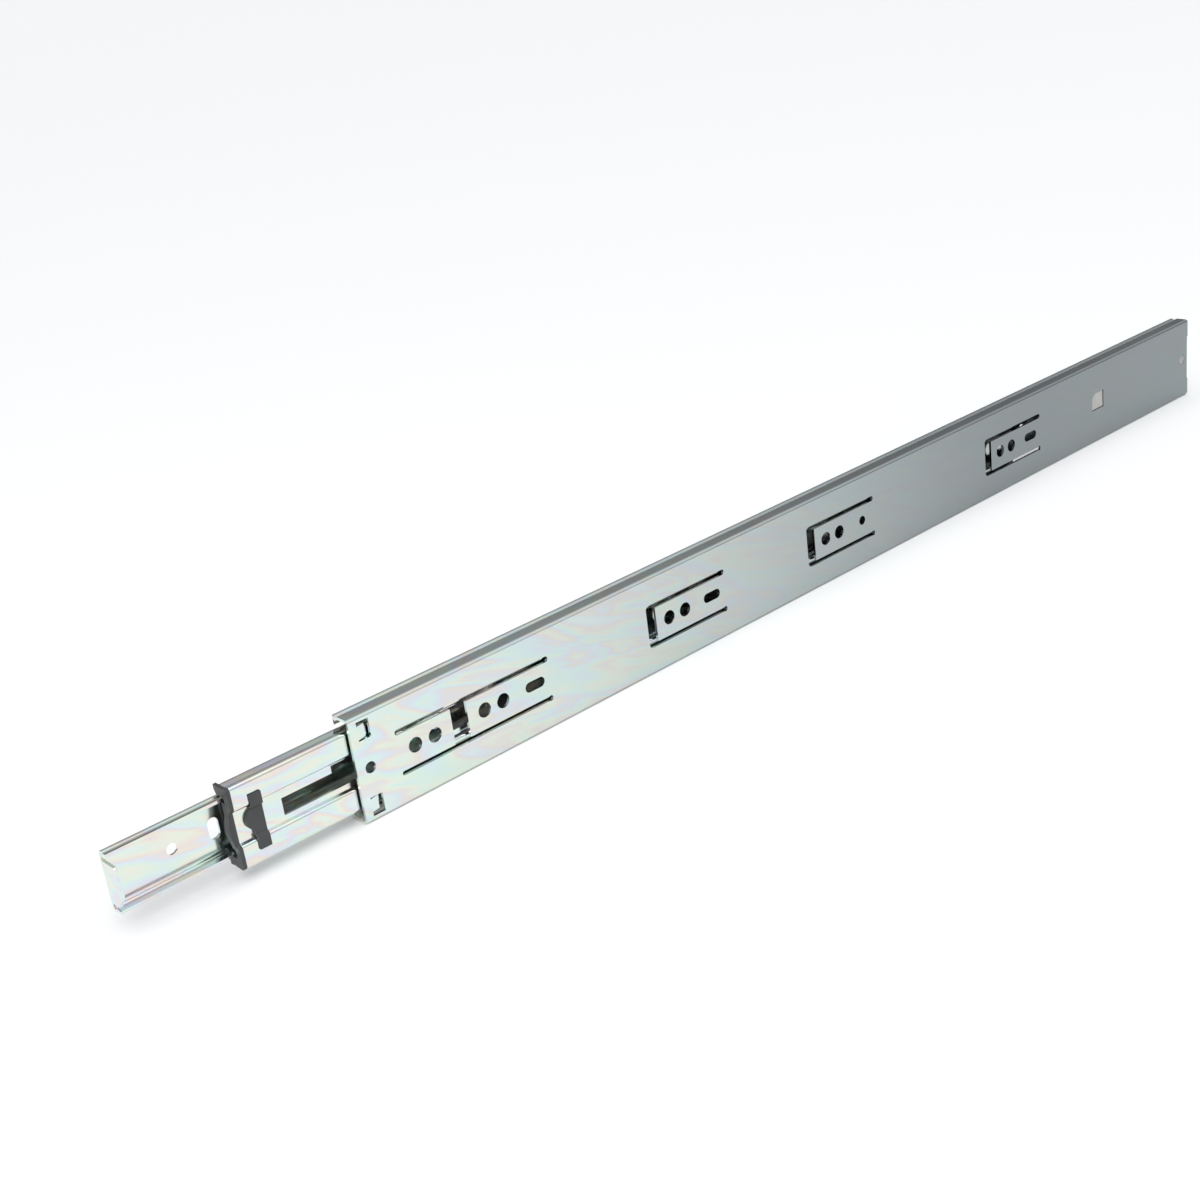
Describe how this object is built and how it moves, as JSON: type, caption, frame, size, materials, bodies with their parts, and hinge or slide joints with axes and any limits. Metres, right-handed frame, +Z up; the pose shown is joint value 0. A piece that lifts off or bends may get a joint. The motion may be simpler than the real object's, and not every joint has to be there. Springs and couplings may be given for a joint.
{
  "type": "drawer slide",
  "caption": "Full-extension soft-close drawer slide: three nested steel rail members rolling on ball cages, with a damper catch at the rear and a front release lever.",
  "frame": {"origin": "front end of the cabinet member, on its mounting face, at mid-height", "axes": "+X is the opening direction, +Y is the outward normal of the cabinet mounting face, +Z is up; the drawer side faces -Y"},
  "size_m": [0.7, 0.0127, 0.0448],
  "materials": {
    "zinc_steel": "zinc plated sheet with a faint pearly passivation",
    "cage_steel": "plain zinc plated strip",
    "ball_steel": "polished hardened balls",
    "black_plastic": "moulded acetal, fine matt",
    "grey_plastic": "moulded, satin",
    "catch_plastic": "moulded, satin",
    "pin_plastic": "ivory, smooth",
    "damper_alloy": "drawn tube",
    "bright_steel": "bright drawn"
  },
  "bodies": {
    "cabinet": {"cabinet_member": "zinc_steel", "damper_housing": "grey_plastic", "housing_stake": "grey_plastic", "damper_rod": "bright_steel", "pull_spring": "bright_steel"},
    "intermediate": {"intermediate_member": "zinc_steel", "front_guide": "black_plastic"},
    "drawer": {"drawer_member": "zinc_steel", "lever_rivet": "bright_steel"},
    "lever": {"release_lever": "black_plastic"},
    "carriage": {"catch_carriage": "catch_plastic", "catch_pin": "pin_plastic", "damper_body": "damper_alloy"},
    "outer_roll_upper": {"outer_cage_upper": "cage_steel", "outer_balls_upper": "ball_steel"},
    "outer_roll_lower": {"outer_cage_lower": "cage_steel", "outer_balls_lower": "ball_steel"},
    "inner_roll_upper": {"inner_cage_upper": "cage_steel", "inner_balls_upper": "ball_steel"},
    "inner_roll_lower": {"inner_cage_lower": "cage_steel", "inner_balls_lower": "ball_steel"}
  },
  "joints": [
    {"name": "intermediate_slide", "type": "slide", "parent": "cabinet", "child": "intermediate", "axis": [1, 0, 0], "range_m": [-0.0535, 0.2365]},
    {"name": "drawer_slide", "type": "slide", "parent": "intermediate", "child": "drawer", "axis": [1, 0, 0], "range_m": [-0.044, 0.266]},
    {"name": "outer_roll_upper_slide", "type": "slide", "parent": "cabinet", "child": "outer_roll_upper", "axis": [1, 0, 0], "range_m": [-0.02675, 0.11825]},
    {"name": "outer_roll_lower_slide", "type": "slide", "parent": "cabinet", "child": "outer_roll_lower", "axis": [1, 0, 0], "range_m": [-0.02675, 0.11825]},
    {"name": "inner_roll_upper_slide", "type": "slide", "parent": "intermediate", "child": "inner_roll_upper", "axis": [1, 0, 0], "range_m": [-0.022, 0.133]},
    {"name": "inner_roll_lower_slide", "type": "slide", "parent": "intermediate", "child": "inner_roll_lower", "axis": [1, 0, 0], "range_m": [-0.022, 0.133]},
    {"name": "lever_pivot", "type": "hinge", "parent": "drawer", "child": "lever", "pos_m": [-0.2796, -0.0091, 0], "axis": [0, 1, 0], "range_deg": [0, 3], "stiffness_Nm_per_rad": 0.05, "springref_deg": -2.86},
    {"name": "catch_slide", "type": "slide", "parent": "cabinet", "child": "carriage", "axis": [1, 0, 0], "range_m": [-0.045, 0], "deforming": ["pull_spring"]}
  ],
  "couplings": [
    {"joint": "outer_roll_upper_slide", "follows": "intermediate_slide", "ratio": 0.5},
    {"joint": "outer_roll_lower_slide", "follows": "intermediate_slide", "ratio": 0.5},
    {"joint": "inner_roll_upper_slide", "follows": "drawer_slide", "ratio": 0.5},
    {"joint": "inner_roll_lower_slide", "follows": "drawer_slide", "ratio": 0.5}
  ]
}
